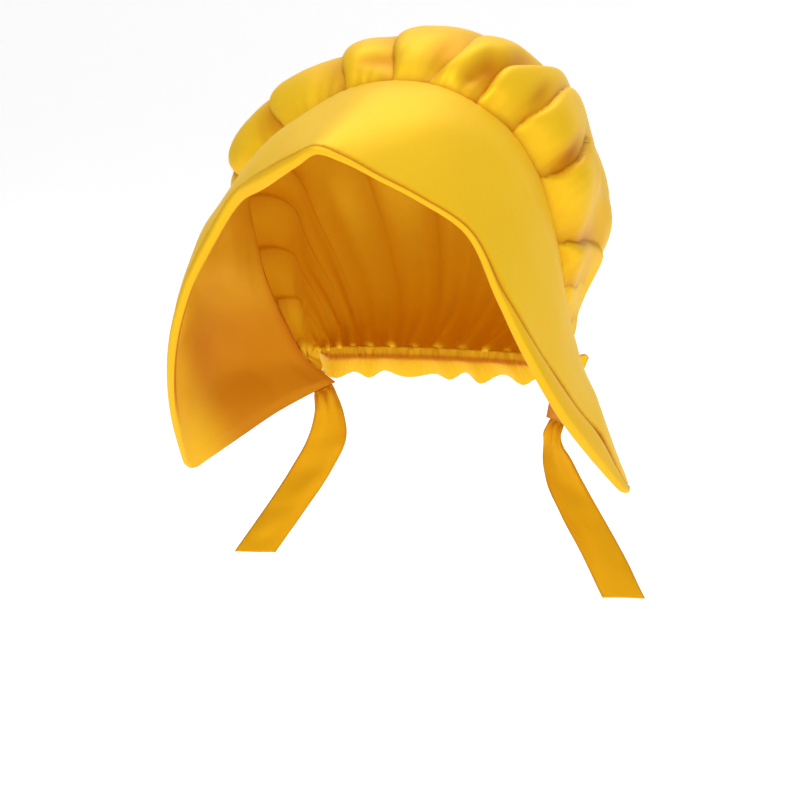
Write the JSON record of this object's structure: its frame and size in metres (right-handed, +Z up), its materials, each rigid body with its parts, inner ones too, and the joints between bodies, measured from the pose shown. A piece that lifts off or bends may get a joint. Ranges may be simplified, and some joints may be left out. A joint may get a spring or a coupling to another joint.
{
  "type": "bonnet",
  "caption": "Costume bonnet with a wide stiffened brim ending in pointed flaps, a full gathered crown, a nape frill and flat ties.",
  "frame": {"origin": "the point under the top of the crown seam where the worn bonnet rests on the head", "axes": "+X towards the wearer's left, -Y towards the face, +Z up along the worn head"},
  "size_m": [0.2601, 0.2828, 0.3164],
  "materials": {
    "brim_outer": "golden yellow polyester satin with a soft sheen",
    "brim_facing": "golden yellow polyester satin, the same cloth as the brim's outside",
    "crown": "golden yellow polyester satin, gathered",
    "nape_frill": "golden yellow polyester satin, gathered",
    "ties": "golden yellow polyester satin, a flat tube turned and pressed"
  },
  "bodies": {
    "root": {"brim_outer": "brim_outer", "brim_facing": "brim_facing", "crown": "crown", "nape_frill": "nape_frill", "tie_left": "ties", "tie_right": "ties"}
  },
  "joints": []
}
